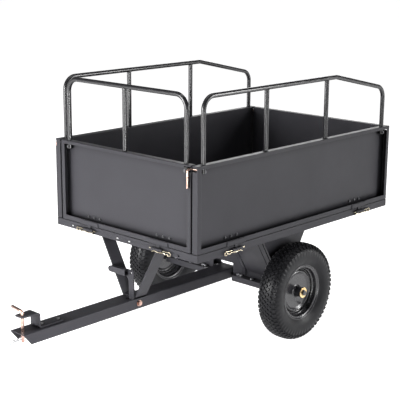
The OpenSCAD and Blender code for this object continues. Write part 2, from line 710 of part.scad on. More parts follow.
// The left front pin enters from the outside of the left wall.
module front_left_latch() color(copper) in_frame() on_front_wall()
    translate([-half_w - handle_out, latch_shank_y, latch_pin_z]) {
        b = latch_bend;
        rod([half_w + handle_out - end_half + 12, 0, 0], [b, 0, 0], latch_pin_r);
        translate([b, 0, -b]) rotate([90, 0, 0]) rotate([0, 0, 90]) wire_bend(b, latch_pin_r);
        rod([0, 0, -b], [0, 0, -70], latch_pin_r);
    }

drawbar();
drawbar_bushes();
hitch_bracket();
hitch_bolts();
latch_bolt();
latch_spring();
hitch_pin();
hitch_pin_clip();
latch_lever();
latch_pedal();
floor_pan();
front_skirt();
rear_skirt();
side_skirts();
floor_ribs();
tipping_brace();
brace_bolts();
axle_bracket_left();
axle_bracket_right();
axle_crosspieces();
axle_channels();
axle_saddles();
axle_bolts();
axle_shaft();
axle_washers();
cotter_pins();
hinge_lugs();
hinge_clips();
tyre_left();
rim_left();
hub_left();
bearings_left();
valve_left();
tyre_right();
rim_right();
hub_right();
bearings_right();
valve_right();
front_wall();
front_rail();
front_hinge_leaves();
front_wall_bolts();
tailgate();
tailgate_hinge_leaves();
tailgate_bolts();
right_wall();
right_rail();
right_hinge_leaves();
right_wall_bolts();
left_wall();
left_rail();
left_hinge_leaves();
left_wall_bolts();
front_right_latch();
front_left_latch();
rear_right_latch();
rear_left_latch();
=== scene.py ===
"""Looks of the tow behind cart: powder-coated sheet, bent tube rails, knobbly tyres and plated pins."""

import json
import math

import bmesh
import bpy
from mathutils import Matrix, Vector


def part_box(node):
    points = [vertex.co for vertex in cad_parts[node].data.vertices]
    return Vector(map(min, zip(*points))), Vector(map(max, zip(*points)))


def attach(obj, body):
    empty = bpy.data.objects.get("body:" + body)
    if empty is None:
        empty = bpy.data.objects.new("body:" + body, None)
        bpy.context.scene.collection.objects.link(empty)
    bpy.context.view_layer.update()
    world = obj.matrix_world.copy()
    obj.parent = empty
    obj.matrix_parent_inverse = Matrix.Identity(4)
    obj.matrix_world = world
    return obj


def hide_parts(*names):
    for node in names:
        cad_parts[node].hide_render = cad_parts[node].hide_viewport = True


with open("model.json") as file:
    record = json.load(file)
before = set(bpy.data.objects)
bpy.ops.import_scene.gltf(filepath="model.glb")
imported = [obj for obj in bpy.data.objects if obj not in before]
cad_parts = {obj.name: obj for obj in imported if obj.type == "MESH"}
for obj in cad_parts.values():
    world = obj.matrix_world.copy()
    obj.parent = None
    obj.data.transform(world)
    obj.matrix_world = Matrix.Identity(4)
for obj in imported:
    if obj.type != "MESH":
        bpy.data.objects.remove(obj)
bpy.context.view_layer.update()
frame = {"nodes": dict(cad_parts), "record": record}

# ------------------------------------------------------------------ places, in millimetres about the axle

MM = 0.001


def node_mm(node):
    """A CAD node's lowest and highest corner in millimetres, with y measured from the axle."""
    lo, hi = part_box(node)
    return [Vector((p.x, p.y - AXLE_Y, p.z)) / MM for p in (lo, hi)]


axle_lo, axle_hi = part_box("axle_shaft")
AXLE_Y = (axle_lo.y + axle_hi.y) / 2
AXLE_Z = (axle_lo.z + axle_hi.z) / 2 / MM

TO_ROW = Matrix.Translation((0, AXLE_Y, 0)) @ Matrix.Scale(MM, 4)

wall_lo, wall_hi = node_mm("right_wall")
HALF_W = wall_hi.x
HALF_L = wall_hi.y
WALL_Z = wall_lo.z
WALL_TOP = wall_hi.z
TRAY = wall_hi.x - wall_lo.x
END_HALF = node_mm("front_wall")[1].x
SHEET = 2.0
LIP = 20.0
LEDGE_LIP = 14.0
LATCH_Z = WALL_TOP - 15
SHANK_Y = 13.0
TYRE_R = node_mm("tyre_right")[1].z - AXLE_Z
WHEEL_X = sum(p.x for p in node_mm("tyre_right")) / 2
WEB_Z = node_mm("drawbar")[1].z
RAIL_R = 9.5


# ------------------------------------------------------------------ mesh building

class Shape:
    """Vertices in millimetres about the axle, and faces."""

    def __init__(self):
        self.verts, self.faces = [], []

    def add(self, verts, faces):
        n = len(self.verts)
        self.verts += [Vector(v) for v in verts]
        self.faces += [[n + i for i in f] for f in faces]

    def rings(self, rings, caps=True, loop=False):
        """Skins a run of rings that all have the same number of points."""
        count, size = len(rings), len(rings[0])
        verts = [p for ring in rings for p in ring]
        faces = []
        for i in range(count if loop else count - 1):
            j = (i + 1) % count
            for a in range(size):
                b = (a + 1) % size
                faces.append([i * size + a, i * size + b, j * size + b, j * size + a])
        if caps and not loop:
            faces.append(list(range(size))[::-1])
            faces.append([(count - 1) * size + a for a in range(size)])
        self.add(verts, faces)

    def tube(self, path, radius, segments=16, loop=False, caps=True):
        """Sweeps a circle along a path; radius is a number or one number per point."""
        n = len(path)
        path = [Vector(p) for p in path]
        radii = radius if isinstance(radius, (list, tuple)) else [radius] * n
        tangents = []
        for i in range(n):
            a = path[(i - 1) % n] if loop or i else path[0]
            b = path[(i + 1) % n] if loop or i < n - 1 else path[-1]
            tangents.append((b - a).normalized())
        side = tangents[0].orthogonal().normalized()
        rings = []
        for p, t, r in zip(path, tangents, radii):
            side = (side - t * side.dot(t)).normalized()
            up = t.cross(side)
            rings.append([p + (side * math.cos(w) + up * math.sin(w)) * r
                          for w in (2 * math.pi * k / segments for k in range(segments))])
        self.rings(rings, caps, loop)

    def lathe(self, profile, centre, segments=96, axis=(1, 0, 0), sign=1, closed=True):
        """Turns a profile of (distance along the axis, radius) about an axis through centre."""
        axis = Vector(axis)
        u = axis.orthogonal().normalized()
        w = axis.cross(u)
        centre = Vector(centre)
        rings = []
        for k in range(segments):
            a = 2 * math.pi * k / segments
            out = u * math.cos(a) + w * math.sin(a)
            rings.append([centre + axis * (x * sign) + out * r for x, r in profile])
        size = len(profile)
        verts = [p for ring in rings for p in ring]
        faces = []
        for i in range(segments):
            j = (i + 1) % segments
            for a in range(size if closed else size - 1):
                b = (a + 1) % size
                faces.append([i * size + a, i * size + b, j * size + b, j * size + a])
        self.add(verts, faces)

    def strip(self, path, thickness, half_width, place):
        """A flat bar bent along a 2-D path; half_width is a function of distance along it.
        place maps (along first axis, along second axis, across) to a point."""
        pts = [Vector((p[0], p[1])) for p in path]
        run, rings = 0.0, []
        for i, p in enumerate(pts):
            a = pts[max(i - 1, 0)]
            b = pts[min(i + 1, len(pts) - 1)]
            if i:
                run += (p - a).length
            t = (b - a).normalized()
            turn = 1.0
            if 0 < i < len(pts) - 1:
                turn = 1 / max(math.cos((p - a).angle(b - p) / 2), 0.3)
            n = Vector((-t.y, t.x)) * (thickness / 2 * turn)
            w = half_width(run)
            rings.append([place(*(p + n), -w), place(*(p + n), w), place(*(p - n), w), place(*(p - n), -w)])
        self.rings(rings)

    def placed(self, matrix):
        """A copy moved by a matrix."""
        copy = Shape()
        copy.add([matrix @ v for v in self.verts], self.faces)
        return copy


def rounded(points, radius, step=6.0):
    """A path through the points whose corners are arcs; radius is a number or one per corner."""
    pts = [Vector(p) for p in points]
    out = [pts[0]]
    for i in range(1, len(pts) - 1):
        r = radius[i - 1] if isinstance(radius, (list, tuple)) else radius
        p = pts[i]
        d1, d2 = (pts[i - 1] - p).normalized(), (pts[i + 1] - p).normalized()
        angle = d1.angle(d2)
        if math.pi - angle < 1e-3 or r <= 0:
            out.append(p)
            continue
        t = r / math.tan(angle / 2)
        a, b = p + d1 * t, p + d2 * t
        centre = p + (d1 + d2).normalized() * (r / math.sin(angle / 2))
        va, vb = a - centre, b - centre
        count = max(2, round(math.degrees(math.pi - angle) / step))
        for k in range(count + 1):
            out.append(centre + va.slerp(vb, k / count).normalized() * r)
    out.append(pts[-1])
    return out


def smoothed(points, per, longest=math.inf):
    """Catmull-Rom points through a polyline; a span longer than longest stays straight."""
    pts = [Vector(p) for p in points]
    out = []
    for i in range(len(pts) - 1):
        p0 = pts[max(i - 1, 0)]
        p1, p2 = pts[i], pts[i + 1]
        p3 = pts[min(i + 2, len(pts) - 1)]
        if (p2 - p1).length > longest:
            out.append(p1)
            continue
        for k in range(per):
            t = k / per
            out.append(0.5 * ((2 * p1) + (p2 - p0) * t + (2 * p0 - 5 * p1 + 4 * p2 - p3) * t * t
                              + (3 * p1 - p0 - 3 * p2 + p3) * t ** 3))
    out.append(pts[-1])
    return out


def make(name, shape, body, material, stands_for=(), edge=0.0, smooth=40.0):
    """Turns a shape into an object that rides on a body and stands for CAD nodes."""
    mesh = bpy.data.meshes.new(name)
    mesh.from_pydata([tuple(v) for v in shape.verts], [], shape.faces)
    mesh.transform(TO_ROW)
    bm = bmesh.new()
    bm.from_mesh(mesh)
    bmesh.ops.remove_doubles(bm, verts=bm.verts, dist=1e-6)
    bmesh.ops.recalc_face_normals(bm, faces=bm.faces)
    bm.to_mesh(mesh)
    bm.free()
    obj = bpy.data.objects.new(name, mesh)
    bpy.context.scene.collection.objects.link(obj)
    mesh.shade_smooth()
    if edge:
        soften(obj, edge)
    else:
        mesh.set_sharp_from_angle(angle=math.radians(smooth))
    mesh.materials.append(material)
    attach(obj, body)
    if stands_for:
        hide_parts(*stands_for)
    return obj


def soften(obj, width_mm, segments=2):
    """Rounds the sharp edges by a bevel and evens the shading."""
    bevel = obj.modifiers.new("edge", "BEVEL")
    bevel.width = width_mm * MM
    bevel.segments = segments
    bevel.limit_method = "ANGLE"
    bevel.angle_limit = math.radians(35)
    bevel.use_clamp_overlap = True
    bevel.miter_outer = "MITER_ARC"
    normals = obj.modifiers.new("normals", "WEIGHTED_NORMAL")
    normals.keep_sharp = True


def baked(obj):
    """Applies the object's modifiers to its mesh."""
    dg = bpy.context.evaluated_depsgraph_get()
    mesh = bpy.data.meshes.new_from_object(obj.evaluated_get(dg))
    obj.modifiers.clear()
    obj.data = mesh
    return mesh


def cut(obj, cutters):
    """Cuts shapes (in millimetres about the axle) out of an object."""
    helpers = []
    for k, shape in enumerate(cutters):
        mesh = bpy.data.meshes.new("cutter")
        mesh.from_pydata([tuple(v) for v in shape.verts], [], shape.faces)
        mesh.transform(TO_ROW)
        bm = bmesh.new()
        bm.from_mesh(mesh)
        bmesh.ops.recalc_face_normals(bm, faces=bm.faces)
        bm.to_mesh(mesh)
        bm.free()
        helper = bpy.data.objects.new("cutter", mesh)
        bpy.context.scene.collection.objects.link(helper)
        mod = obj.modifiers.new("cut", "BOOLEAN")
        mod.operation = "DIFFERENCE"
        mod.solver = "MANIFOLD"
        mod.object = helper
        helpers.append(helper)
    baked(obj)
    for helper in helpers:
        bpy.data.objects.remove(helper)


def block(lo, hi):
    shape = Shape()
    v = [Vector((x, y, z)) for x in (lo[0], hi[0]) for y in (lo[1], hi[1]) for z in (lo[2], hi[2])]
    shape.add(v, [[0, 1, 3, 2], [4, 6, 7, 5], [0, 4, 5, 1], [2, 3, 7, 6], [0, 2, 6, 4], [1, 5, 7, 3]])
    return shape


def drill(a, b, r):
    shape = Shape()
    shape.tube([a, b], r, 40)
    return shape


# ------------------------------------------------------------------ materials

# Painted shade in corners and recesses: samples and reach of its occlusion mask
CORNER_SHADE_SAMPLES = 8
CORNER_SHADE_REACH = 45.0


class Nodes:
    """Small helper round a material's node tree."""

    def __init__(self, name):
        self.mat = bpy.data.materials.new(name)
        self.mat.use_nodes = True
        self.tree = self.mat.node_tree
        self.tree.nodes.clear()
        self.out = self.tree.nodes.new("ShaderNodeOutputMaterial")
        self.bsdf = self.tree.nodes.new("ShaderNodeBsdfPrincipled")
        self.link(self.bsdf.outputs[0], self.out.inputs[0])
        self.coord = self.tree.nodes.new("ShaderNodeTexCoord").outputs["Object"]

    def link(self, a, b):
        self.tree.links.new(a, b)

    def noise(self, scale, detail=2.0, rough=0.5, stretch=None):
        vec = self.coord
        if stretch:
            m = self.tree.nodes.new("ShaderNodeMapping")
            m.inputs["Scale"].default_value = stretch
            self.link(vec, m.inputs[0])
            vec = m.outputs[0]
        n = self.tree.nodes.new("ShaderNodeTexNoise")
        n.inputs["Scale"].default_value = scale
        n.inputs["Detail"].default_value = detail
        n.inputs["Roughness"].default_value = rough
        self.link(vec, n.inputs["Vector"])
        return n.outputs[0]

    def spread(self, value, lo, hi, at=0.3, to=0.7):
        m = self.tree.nodes.new("ShaderNodeMapRange")
        m.inputs["From Min"].default_value = at
        m.inputs["From Max"].default_value = to
        m.inputs["To Min"].default_value = lo
        m.inputs["To Max"].default_value = hi
        self.link(value, m.inputs["Value"])
        return m.outputs[0]

    def mix(self, factor, a, b):
        m = self.tree.nodes.new("ShaderNodeMix")
        m.data_type = "RGBA"
        for socket, value in ((m.inputs[0], factor), (m.inputs[6], a), (m.inputs[7], b)):
            if isinstance(value, bpy.types.NodeSocket):
                self.link(value, socket)
            elif isinstance(value, (int, float)):
                socket.default_value = value
            else:
                socket.default_value = (*value, 1.0)
        return m.outputs[2]

    def painted_corner_shade(self, color, dark, reach_mm):
        """Painted shade: the colour, darkened by an occlusion mask where the surface is tucked into a corner or
        slot.
        """
        ao = self.tree.nodes.new("ShaderNodeAmbientOcclusion")
        ao.samples = CORNER_SHADE_SAMPLES
        ao.inputs["Distance"].default_value = reach_mm * MM
        return self.mix(self.spread(ao.outputs["AO"], 1.0, 0.0, 0.25, 0.95), color, dark)

    def bump(self, height, strength, distance_mm, normal=None):
        b = self.tree.nodes.new("ShaderNodeBump")
        b.inputs["Strength"].default_value = strength
        b.inputs["Distance"].default_value = distance_mm * MM
        self.link(height, b.inputs["Height"])
        if normal:
            self.link(normal, b.inputs["Normal"])
        return b.outputs[0]

    def set(self, **values):
        for key, value in values.items():
            socket = self.bsdf.inputs[key.replace("_", " ")]
            if isinstance(value, bpy.types.NodeSocket):
                self.link(value, socket)
            else:
                socket.default_value = value


def times(color, k):
    return tuple(c * k for c in color)


def coat(name, color, rough, peel=0.10, specular=0.5, scuff=0.0):
    """Baked-on powder paint: faint orange peel, cloudy gloss, slight tone changes, and painted shade that
    darkens its corners.
    """
    n = Nodes(name)
    cloud = n.spread(n.noise(5.0, 4.0), 0.0, 1.0)
    tone = n.mix(cloud, times(color, 0.90), times(color, 1.10))
    grain = n.spread(n.noise(420.0, 2.0), 0.0, 0.5)
    tone = n.mix(grain, tone, times(color, 1.18))
    if scuff:
        rub = n.spread(n.noise(38.0, 5.0, 0.65, stretch=(1.0, 0.35, 1.6)), 0.0, scuff, 0.62, 0.78)
        tone = n.mix(rub, tone, times(color, 2.4))
    # Painted shade: the colour is darkened in corners, creases and recesses
    tone = n.painted_corner_shade(tone, times(color, 0.12), CORNER_SHADE_REACH)
    waves = n.bump(n.noise(60.0, 2.0), peel * 0.5, 0.5)
    n.set(Base_Color=tone, Roughness=n.spread(n.noise(24.0, 3.0), rough - 0.06, rough + 0.06),
          Normal=n.bump(n.noise(650.0, 1.5, 0.4), peel, 0.25, waves))
    n.bsdf.inputs["Specular IOR Level"].default_value = specular
    return n.mat


def rubber(name, color, rough):
    """Moulded rubber: dusty tone, fine mould grain and duller patches."""
    n = Nodes(name)
    dust = n.spread(n.noise(14.0, 5.0, 0.6), 0.0, 0.6, 0.4, 0.75)
    tone = n.mix(dust, color, times(color, 1.7))
    n.set(Base_Color=tone, Roughness=n.spread(n.noise(40.0, 3.0), rough - 0.08, rough + 0.10),
          Normal=n.bump(n.noise(520.0, 3.0, 0.6), 0.18, 0.3, n.bump(n.noise(90.0, 2.0), 0.10, 0.5)))
    n.bsdf.inputs["Specular IOR Level"].default_value = 0.15
    return n.mat


def plated(name, color, rough, second):
    """Plated steel: drawn scratches, uneven passivation towards the second colour and small pits."""
    n = Nodes(name)
    patch = n.spread(n.noise(70.0, 4.0, 0.6), 0.0, 1.0, 0.35, 0.65)
    tone = n.mix(patch, color, second)
    draw = n.noise(260.0, 3.0, 0.6, stretch=(0.25, 1.0, 1.0))
    n.set(Base_Color=tone, Metallic=1.0, Roughness=n.spread(draw, rough - 0.08, rough + 0.12),
          Normal=n.bump(draw, 0.10, 0.15, n.bump(n.noise(480.0, 2.0), 0.12, 0.2)))
    return n.mat


GRAPHITE = (0.0335, 0.0328, 0.0378)
MAT = {
    "powder_coat": coat("powder_coat", GRAPHITE, 0.36, specular=0.13),
    # Painted shade: the rails' copy of the powder paint is darker, standing in for the shade on the round tubes
    "rail_shaded_gloss": coat("rail_shaded_gloss", times(GRAPHITE, 0.4), 0.24, peel=0.015, specular=0.55),
    "floor_coat": coat("floor_coat", times(GRAPHITE, 0.7), 0.5, scuff=0.10, specular=0.15),
    "rim_coat": coat("rim_coat", times(GRAPHITE, 0.8), 0.24, peel=0.04, specular=0.65),
    "tyre_rubber": rubber("tyre_rubber", (0.0105, 0.0105, 0.012), 0.40),
    "black_rubber": rubber("black_rubber", (0.010, 0.010, 0.011), 0.5),
    "black_nylon": rubber("black_nylon", (0.014, 0.014, 0.015), 0.42),
    "copper_plate": plated("copper_plate", (0.66, 0.47, 0.40), 0.24, (0.36, 0.22, 0.18)),
    "yellow_zinc": plated("yellow_zinc", (0.60, 0.55, 0.43), 0.24, (0.30, 0.25, 0.17)),
    "washer_brass": plated("washer_brass", (0.84, 0.64, 0.36), 0.25, (0.66, 0.45, 0.20)),
    "zinc_plate": plated("zinc_plate", (0.50, 0.50, 0.52), 0.34, (0.34, 0.34, 0.36)),
    "dull_zinc": plated("dull_zinc", (0.11, 0.11, 0.115), 0.42, (0.07, 0.07, 0.075)),
    "black_oxide": coat("black_oxide", times(GRAPHITE, 0.55), 0.45),
}

# ------------------------------------------------------------------ walls

ON_FRONT = Matrix.Translation((0, -HALF_L, 0))
ON_REAR = Matrix.Rotation(math.pi, 4, "Z") @ ON_FRONT
ON_RIGHT = Matrix.Translation((HALF_W, 0, 0)) @ Matrix.Rotation(math.pi / 2, 4, "Z")
FLIP_X = Matrix.Diagonal((-1, 1, 1, 1))
ON_LEFT = FLIP_X @ ON_RIGHT
FOLD_R = 3.2
LATCH_R = 4.0
BORE_R = LATCH_R + 0.3
SLOT_HALF = 7.0


def wall_mesh(half, place):
    """One sheet folded into a tray that faces -Y, with a return lip round its face."""
    bm = bmesh.new()
    rect = [(-half, WALL_Z), (half, WALL_Z), (half, WALL_TOP), (-half, WALL_TOP)]
    inner_half, inner_z, inner_top = half - LIP, WALL_Z + LIP, WALL_TOP - LEDGE_LIP
    inner = [(-inner_half, inner_z), (inner_half, inner_z), (inner_half, inner_top), (-inner_half, inner_top)]
    a = [bm.verts.new((x, 0, z)) for x, z in rect]
    b = [bm.verts.new((x, 0, z)) for x, z in inner]
    c = [bm.verts.new((x, TRAY, z)) for x, z in rect]
    bm.faces.new(c[::-1])
    for i in range(4):
        j = (i + 1) % 4
        bm.faces.new([a[i], c[i], c[j], a[j]])
        bm.faces.new([a[i], a[j], b[j], b[i]])
    bm.normal_update()
    folds = [e for e in bm.edges if not any(v in b for v in e.verts)]
    bmesh.ops.bevel(bm, geom=folds, offset=FOLD_R, segments=4, profile=0.5, affect="EDGES",
                    clamp_overlap=True)
    bmesh.ops.transform(bm, matrix=TO_ROW @ place, verts=bm.verts)
    if place.determinant() < 0:
        bmesh.ops.reverse_faces(bm, faces=bm.faces)
    mesh = bpy.data.meshes.new("wall")
    bm.to_mesh(mesh)
    bm.free()
    return mesh


def wall_piece(name, node, half, place, cutters):
    """A wall of real sheet thickness with its slots and bores cut; the cutters face -Y like its mesh."""
    mesh = wall_mesh(half, place)
    obj = bpy.data.objects.new(name, mesh)
    bpy.context.scene.collection.objects.link(obj)
    solid = obj.modifiers.new("sheet", "SOLIDIFY")
    solid.thickness = SHEET * MM
    solid.offset = -1
    solid.use_even_offset = True
    baked(obj)
    cut(obj, [shape.placed(place) for shape in cutters])
    obj.data.shade_smooth()
    soften(obj, 0.5)
    obj.data.materials.clear()
    obj.data.materials.append(MAT["powder_coat"])
    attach(obj, node)
    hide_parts(node)
    return obj


def latch_window(half):
    """Opening in a wall's face lip through which a latch handle is reached."""
    return block((half - 34, -2, LATCH_Z - 16), (half + 2, 6, LATCH_Z + 9))


window = latch_window(END_HALF)
pin_bore = drill((END_HALF - 4, SHANK_Y, LATCH_Z), (END_HALF + 4, SHANK_Y, LATCH_Z), BORE_R)
# Open-backed slot in the front wall's left end, for the latch that comes in from the side
front_slot = block((-END_HALF - 2, SHANK_Y - 6, LATCH_Z - SLOT_HALF),
                   (-END_HALF + 22, TRAY + 2, LATCH_Z + SLOT_HALF))
left_bore = drill((-HALF_L + SHANK_Y, TRAY + 4, LATCH_Z), (-HALF_L + SHANK_Y, TRAY - 6, LATCH_Z), BORE_R)
# Slot through a side wall's end that receives a latch's nose
side_keeper = block((HALF_L - 20, 6, LATCH_Z - SLOT_HALF), (HALF_L + 2, TRAY + 2, LATCH_Z + SLOT_HALF))
wall_piece("front_wall_panel", "front_wall", END_HALF, ON_FRONT, [window, pin_bore, front_slot])
wall_piece("tailgate_panel", "tailgate", END_HALF, ON_REAR,
           [window, pin_bore, window.placed(FLIP_X), pin_bore.placed(FLIP_X)])
wall_piece("right_wall_panel", "right_wall", HALF_L, ON_RIGHT, [side_keeper, side_keeper.placed(FLIP_X)])
wall_piece("left_wall_panel", "left_wall", HALF_L, ON_LEFT,
           [side_keeper, left_bore, latch_window(HALF_L).placed(FLIP_X)])

# ------------------------------------------------------------------ rails

CORNER_BEND = 52.0
KNEE_BEND = 60.0
RAIL_SEGMENTS = 28
BEAD_POINTS = 72


def bead_ring(shape, centre, height, thickness):
    """A rippled weld round an upright; height and thickness are functions of the angle about it."""
    points, radii = [], []
    for k in range(BEAD_POINTS):
        a = 2 * math.pi * k / BEAD_POINTS
        points.append(Vector((centre[0] + RAIL_R * math.cos(a), centre[1] + RAIL_R * math.sin(a), height(a))))
        radii.append(thickness(a))
    shape.tube(points, radii, 8, loop=True)


def upright(shape, x, y, rail_z, rail_along):
    """A tube from the wall's top to the rail's middle, with a weld at its foot and one under the rail."""
    def saddle(a):
        across = RAIL_R * (math.sin(a) if rail_along == "x" else math.cos(a))
        return rail_z - math.sqrt(RAIL_R ** 2 - min(abs(across), RAIL_R * 0.93) ** 2)

    shape.tube([(x, y, WALL_TOP - 0.5), (x, y, rail_z)], RAIL_R, RAIL_SEGMENTS)
    bead_ring(shape, (x, y), lambda a: WALL_TOP + 0.5,
              lambda a: 1.7 * (1 + 0.14 * math.sin(22 * a) + 0.10 * math.sin(3 * a + x)))
    bead_ring(shape, (x, y), saddle, lambda a: 1.6 * (1 + 0.14 * math.sin(20 * a + y)))


side_lo, side_hi = node_mm("right_rail")
SIDE_X = (side_lo.x + side_hi.x) / 2
SIDE_FRONT = side_lo.y + RAIL_R
SIDE_REAR = side_hi.y - RAIL_R
SIDE_Z = side_hi.z - RAIL_R
FOOT_Z = side_lo.z
KNEE_Y = 228.0
TAIL_Z = 1008.0
TAIL_Y = SIDE_REAR - 44
SIDE_UPRIGHTS_Y = (-218.0, 165.0)


def side_rail(name, node, sign):
    """A rail that is level to its knee and falls from there to the rear post."""
    x = sign * SIDE_X
    shape = Shape()
    fall = (SIDE_Z - TAIL_Z) / (TAIL_Y - KNEE_Y)
    tail_z = SIDE_Z - (SIDE_REAR - KNEE_Y) * fall
    path = rounded([(x, SIDE_FRONT, FOOT_Z), (x, SIDE_FRONT, SIDE_Z), (x, KNEE_Y, SIDE_Z),
                    (x, SIDE_REAR, tail_z), (x, SIDE_REAR, FOOT_Z)],
                   [CORNER_BEND, KNEE_BEND, CORNER_BEND], step=5)
    shape.tube(path, RAIL_R, RAIL_SEGMENTS)
    for y in SIDE_UPRIGHTS_Y:
        upright(shape, x, y, SIDE_Z, "y")
    return make(name, shape, node.replace("_rail", "_wall"), MAT["rail_shaded_gloss"], [node])


side_rail("right_rail_tube", "right_rail", 1)
side_rail("left_rail_tube", "left_rail", -1)

front_lo, front_hi = node_mm("front_rail")
FRONT_X = front_hi.x - RAIL_R
FRONT_Y = (front_lo.y + front_hi.y) / 2
FRONT_Z = front_hi.z - RAIL_R
shape = Shape()
path = rounded([(-FRONT_X, FRONT_Y, FOOT_Z), (-FRONT_X, FRONT_Y, FRONT_Z), (FRONT_X, FRONT_Y, FRONT_Z),
                (FRONT_X, FRONT_Y, FOOT_Z)], CORNER_BEND, step=5)
shape.tube(path, RAIL_R, RAIL_SEGMENTS)
upright(shape, 0, FRONT_Y, FRONT_Z, "x")
make("front_rail_tube", shape, "front_wall", MAT["rail_shaded_gloss"], ["front_rail"])

# ------------------------------------------------------------------ drawbar, bracket and brace

bar_lo, bar_hi = node_mm("drawbar")
BAR_HALF = bar_hi.x
BAR_T = 3.0
TIP_Y, HEEL_Y = bar_lo.y, bar_hi.y
BAR_Z0 = bar_lo.z
SLANT_RUN = 32.0
BUSH_R = 14.0
LEVER_Y = -598.0
LEVER_STRAP = 28.0


def channel_section(half, z0, z1, radius):
    """Points of an inverted U's outer face, left foot to right foot."""
    return rounded([(-half, 0, z0), (-half, 0, z1), (half, 0, z1), (half, 0, z0)], radius, step=15)


def drawbar():
    """The channel, cut slantwise at its tip, bored for the axle's bushes and slotted for the latch lever."""
    outer = channel_section(BAR_HALF, BAR_Z0, WEB_Z, 5.0)
    inner = channel_section(BAR_HALF - BAR_T, BAR_Z0, WEB_Z - BAR_T, 2.0)
    ring = outer + inner[::-1]
    shape = Shape()
    shape.rings([[Vector((p.x, y, p.z)) for p in ring] for y in (TIP_Y, HEEL_Y)])
    obj = make("drawbar_channel", shape, "drawbar", MAT["powder_coat"], ["drawbar"])
    slant = Shape()
    top, foot = WEB_Z - BAR_T - 0.5, BAR_Z0 - 0.7
    outline = [(TIP_Y - 5, top), (TIP_Y, top), (TIP_Y + SLANT_RUN, foot), (TIP_Y + SLANT_RUN, BAR_Z0 - 6),
               (TIP_Y - 5, BAR_Z0 - 6)]
    slant.rings([[Vector((x, y, z)) for y, z in outline] for x in (-BAR_HALF * 2, BAR_HALF * 2)])
    lever_x = node_mm("latch_lever")[1].x
    cutters = [slant,
               drill((-90, 0, AXLE_Z), (90, 0, AXLE_Z), BUSH_R),
               block((lever_x - LEVER_STRAP - 3, LEVER_Y - 16, WEB_Z - BAR_T - 2),
                     (lever_x + 3, LEVER_Y + 9, WEB_Z + 2))]
    cut(obj, cutters)
    obj.data.shade_smooth()
    soften(obj, 0.6)
    return obj


drawbar()


STRAP_T = 6.0
STRAP_STEP_Y = -1060.0


def hitch_bracket():
    """A strap stepped up from the drawbar, with rounded corners at its tip and a round heel."""
    lo, hi = node_mm("hitch_bracket")
    half, heel, corner = hi.x, 12, 6
    zb, zt = WEB_Z + STRAP_T / 2, hi.z - STRAP_T / 2
    path = rounded([(lo.y, zt), (STRAP_STEP_Y, zt), (STRAP_STEP_Y, zb), (hi.y, zb)], 8.0, step=12)
    path = path[:-1]
    path += [Vector((hi.y - heel + heel * math.sin(a), zb)) for a in (0, .3, .6, .9, 1.2, 1.45, 1.57)]
    length = sum((b - a).length for a, b in zip(path, path[1:]))

    def width(run):
        into = max(run - (length - heel), 0)
        front = max(corner - run, 0)
        heel_half = half - heel + math.sqrt(max(heel * heel - into * into, 0.01))
        return heel_half - (corner - math.sqrt(max(corner * corner - front * front, 0)))

    shape = Shape()
    shape.strip(path, STRAP_T, width, lambda y, z, x: Vector((x, y, z)))
    return make("hitch_bracket_strap", shape, "drawbar", MAT["powder_coat"], ["hitch_bracket"],
                edge=0.8)


hitch_bracket()


BRACE_FOOT = 35.0
BRACE_SLOPE = 0.557


def tipping_brace():
    """A strap bent down to a flat foot, with a flange on each side under the bed."""
    lo, hi = node_mm("tipping_brace")
    top, foot = hi.z - STRAP_T / 2, lo.z + STRAP_T / 2
    mid, half_width = (lo.y + hi.y) / 2, (hi.y - lo.y) / 2
    knee = BRACE_FOOT + BRACE_SLOPE * (top - foot)
    path = rounded([(-hi.x, top), (-knee, top), (-BRACE_FOOT, foot),
                    (BRACE_FOOT, foot), (knee, top), (hi.x, top)], 9.0, step=12)
    shape = Shape()
    shape.strip(path, STRAP_T, lambda run: half_width, lambda x, z, y: Vector((x, mid + y, z)))
    return make("tipping_brace_strap", shape, "bed", MAT["powder_coat"], ["tipping_brace"],
                edge=0.8)


tipping_brace()

# ------------------------------------------------------------------ wheels

LUGS = 58
KNOB_H = 5.2
RIB_ARC, RIB_REACH, RIB_LIFT = 60, 16, 1.3

# Half section of the carcass from the crown to the bead: (sideways, depth below the tyre's radius)
CARCASS = [(0, 5.5), (14, 6), (27, 8.5), (37, 14), (44, 23.5), (48.4, 36), (49.4, 50), (47.0, 66), (42.0, 78),
           (37.8, 86), (36.0, 89.5), (32.0, 92), (31.0, 96)]
# Half section of its hollow, from the bead to the crown
HOLLOW = [(24, 98), (24, 90), (40, 60), (38, 36), (24, 20), (0, 15)]
DIAMOND = [(-8.6, 0), (-2.2, -6.6), (2.2, -6.6), (8.6, 0), (2.2, 6.6), (-2.2, 6.6)]
SHOULDER = [(-5.0, -8.5), (5.0, -8.5), (6.4, -2), (4.6, 8.5), (-4.6, 8.5), (-6.4, -2)]
half_section = smoothed([(x, TYRE_R - depth) for x, depth in CARCASS], 5)
arc = [0.0]
for p, q in zip(half_section, half_section[1:]):
    arc.append(arc[-1] + (q - p).length)

# A point (sideways, radius) inside the carcass, which tells its outside from its inside
INSIDE_TYRE = Vector((20, 150))


def on_carcass(s, height):
    """Point (sideways, radius) at arc distance s from the crown and a height above the carcass."""
    sign = -1 if s < 0 else 1
    s = min(abs(s), arc[-1] - 1e-3)
    i = next(k for k in range(len(arc) - 1) if arc[k + 1] >= s)
    t = (s - arc[i]) / (arc[i + 1] - arc[i])
    p = half_section[i].lerp(half_section[i + 1], t)
    d = (half_section[i + 1] - half_section[i]).normalized()
    normal = Vector((-d.y, d.x))
    if normal.dot(p - INSIDE_TYRE) < 0:
        normal = -normal
    q = p + normal * height
    return sign * q.x, q.y


def polar(centre, x, r, angle):
    return Vector((centre.x + x, centre.y + r * math.cos(angle), centre.z + r * math.sin(angle)))


